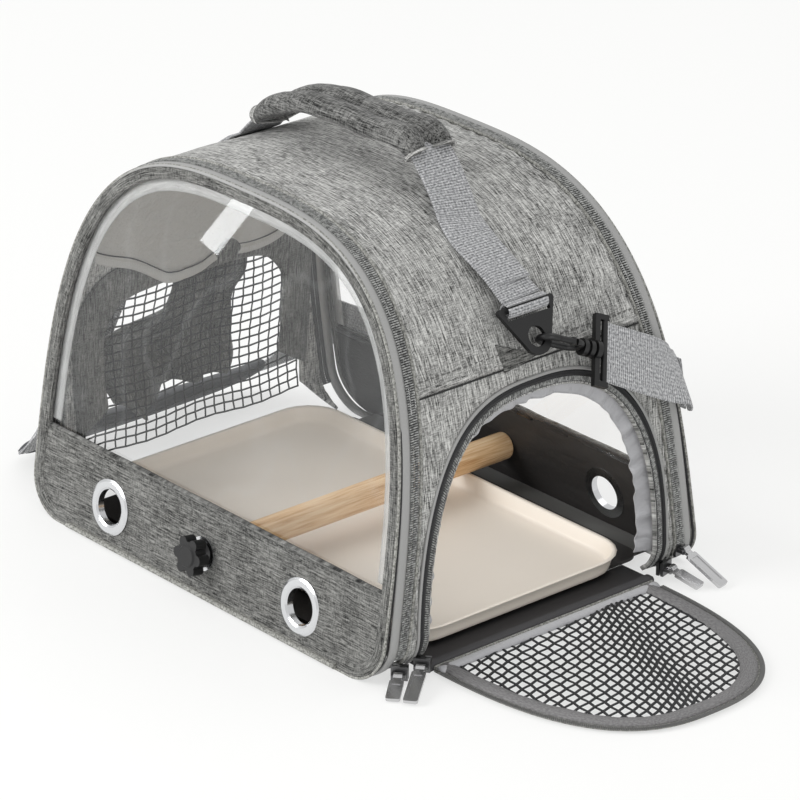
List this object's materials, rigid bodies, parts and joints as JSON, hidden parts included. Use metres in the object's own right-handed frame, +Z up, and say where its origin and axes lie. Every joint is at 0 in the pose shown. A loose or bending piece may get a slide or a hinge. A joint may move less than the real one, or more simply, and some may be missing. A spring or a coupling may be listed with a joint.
{
  "type": "soft pet travel carrier",
  "caption": "Arched soft-sided travel carrier for a bird: clear end windows, drop-down mesh side door, pull-out tray, wooden perch, padded handle and shoulder strap.",
  "frame": {"origin": "centre of the base's underside, on the floor", "axes": "+X towards the side door, +Y from the front window panel to the back one, +Z up"},
  "size_m": [0.5694, 0.2878, 0.2973],
  "materials": {
    "heather_fabric": "matte woven heather",
    "dark_heather_fabric": "matte woven heather",
    "grey_tape": "smooth ribbed tape",
    "lining_fabric": "matte",
    "webbing": "woven, slight sheen",
    "pad_fabric": "matte",
    "piping": "satin",
    "zip_coil": "moulded coil",
    "mesh_net": "open net",
    "clear_film": "clear flexible film",
    "silver_metal": "bright plated",
    "black_plastic": "moulded satin",
    "natural_wood": "sanded",
    "brass_insert": "machined",
    "ivory_plastic": "satin",
    "stiff_board": "matte"
  },
  "bodies": {
    "carrier": {"base_panel": "dark_heather_fabric", "base_board": "stiff_board", "top_gusset": "heather_fabric", "right_side_panel": "heather_fabric", "left_side_panel": "heather_fabric", "ceiling_lining": "lining_fabric", "left_mesh": "mesh_net", "shade_flap": "dark_heather_fabric", "front_zip_body_half": "zip_coil", "back_zip_body_half": "zip_coil", "perch": "natural_wood", "perch_inserts": "brass_insert", "door_sill": "grey_tape", "door_opening_zip": "zip_coil", "door_binding": "grey_tape", "handle_webbing": "webbing", "handle_grip": "dark_heather_fabric", "loop_patches": "heather_fabric", "loop_right": "black_plastic", "loop_left": "black_plastic", "hook_right": "black_plastic", "hook_left": "black_plastic", "strap_bar_right": "black_plastic", "strap_bar_left": "black_plastic", "strap_right_run": "webbing", "strap_left_run": "webbing", "shoulder_pad": "pad_fabric", "zip_sliders": "silver_metal"},
    "front_panel": {"front_rim": "dark_heather_fabric", "front_edge_strip": "grey_tape", "front_zip_panel_half": "zip_coil", "front_window": "clear_film", "front_band": "dark_heather_fabric", "front_eyelets": "silver_metal", "front_washer": "silver_metal", "front_hinge_cord": "piping"},
    "front_knob_body": {"front_knob": "black_plastic"},
    "back_panel": {"back_rim": "dark_heather_fabric", "back_edge_strip": "grey_tape", "back_zip_panel_half": "zip_coil", "back_window": "clear_film", "back_band": "dark_heather_fabric", "back_eyelets": "silver_metal", "back_washer": "silver_metal", "back_hinge_cord": "piping", "strap_back_run": "webbing", "strap_adjuster": "black_plastic"},
    "back_knob_body": {"back_knob": "black_plastic"},
    "side_door": {"door_frame": "grey_tape", "door_mesh": "mesh_net", "door_zip_half": "zip_coil", "door_hinge_cord": "piping"},
    "tray_body": {"tray": "ivory_plastic"},
    "gate_right_body": {"gate_right": "black_plastic"},
    "gate_left_body": {"gate_left": "black_plastic"},
    "pull_front_body": {"pull_front": "silver_metal"},
    "pull_door_front_body": {"pull_door_front": "silver_metal"},
    "pull_door_back_body": {"pull_door_back": "silver_metal"},
    "pull_back_body": {"pull_back": "silver_metal"}
  },
  "joints": [
    {"name": "front_panel_open", "type": "hinge", "parent": "carrier", "child": "front_panel", "pos_m": [0, -0.1348, 0.0024], "axis": [1, 0, 0], "range_deg": [0, 58]},
    {"name": "back_panel_open", "type": "hinge", "parent": "carrier", "child": "back_panel", "pos_m": [0, 0.1348, 0.0024], "axis": [-1, 0, 0], "range_deg": [0, 58]},
    {"name": "front_knob_turn", "type": "hinge", "parent": "front_panel", "child": "front_knob_body", "pos_m": [0, -0.12855, 0.0285], "axis": [0, -0.988, 0.1541], "continuous": true},
    {"name": "back_knob_turn", "type": "hinge", "parent": "back_panel", "child": "back_knob_body", "pos_m": [0, 0.12855, 0.0285], "axis": [0, 0.988, 0.1541], "continuous": true},
    {"name": "side_door_close", "type": "hinge", "parent": "carrier", "child": "side_door", "pos_m": [0.1763, 0, 0.0032], "axis": [0, 1, 0], "range_deg": [-94, 0]},
    {"name": "tray_slide", "type": "slide", "parent": "carrier", "child": "tray_body", "axis": [1, 0, 0], "range_m": [0, 0.33]},
    {"name": "gate_right_open", "type": "hinge", "parent": "carrier", "child": "gate_right_body", "pos_m": [0.1759, 0.02112, 0.18704], "axis": [0.4568, -0.4384, -0.7741], "range_deg": [0, 35], "stiffness_Nm_per_rad": 0.05},
    {"name": "gate_left_open", "type": "hinge", "parent": "carrier", "child": "gate_left_body", "pos_m": [-0.18101, -0.01175, 0.17838], "axis": [-0.2541, 0.866, -0.4306], "range_deg": [0, 35], "stiffness_Nm_per_rad": 0.05},
    {"name": "pull_front_swing", "type": "hinge", "parent": "carrier", "child": "pull_front_body", "pos_m": [0.176, -0.1195, 0.007], "axis": [-0.766, -0.6428, 0], "range_deg": [0, 65]},
    {"name": "pull_door_front_swing", "type": "hinge", "parent": "carrier", "child": "pull_door_front_body", "pos_m": [0.1794, -0.1045, 0.009], "axis": [-0.788, -0.6157, 0], "range_deg": [0, 95]},
    {"name": "pull_door_back_swing", "type": "hinge", "parent": "carrier", "child": "pull_door_back_body", "pos_m": [0.1794, 0.1045, 0.009], "axis": [0.2588, -0.9659, 0], "range_deg": [0, 95]},
    {"name": "pull_back_swing", "type": "hinge", "parent": "carrier", "child": "pull_back_body", "pos_m": [0.178, 0.117, 0.018], "axis": [0.1908, -0.9816, 0], "range_deg": [0, 95]}
  ]
}
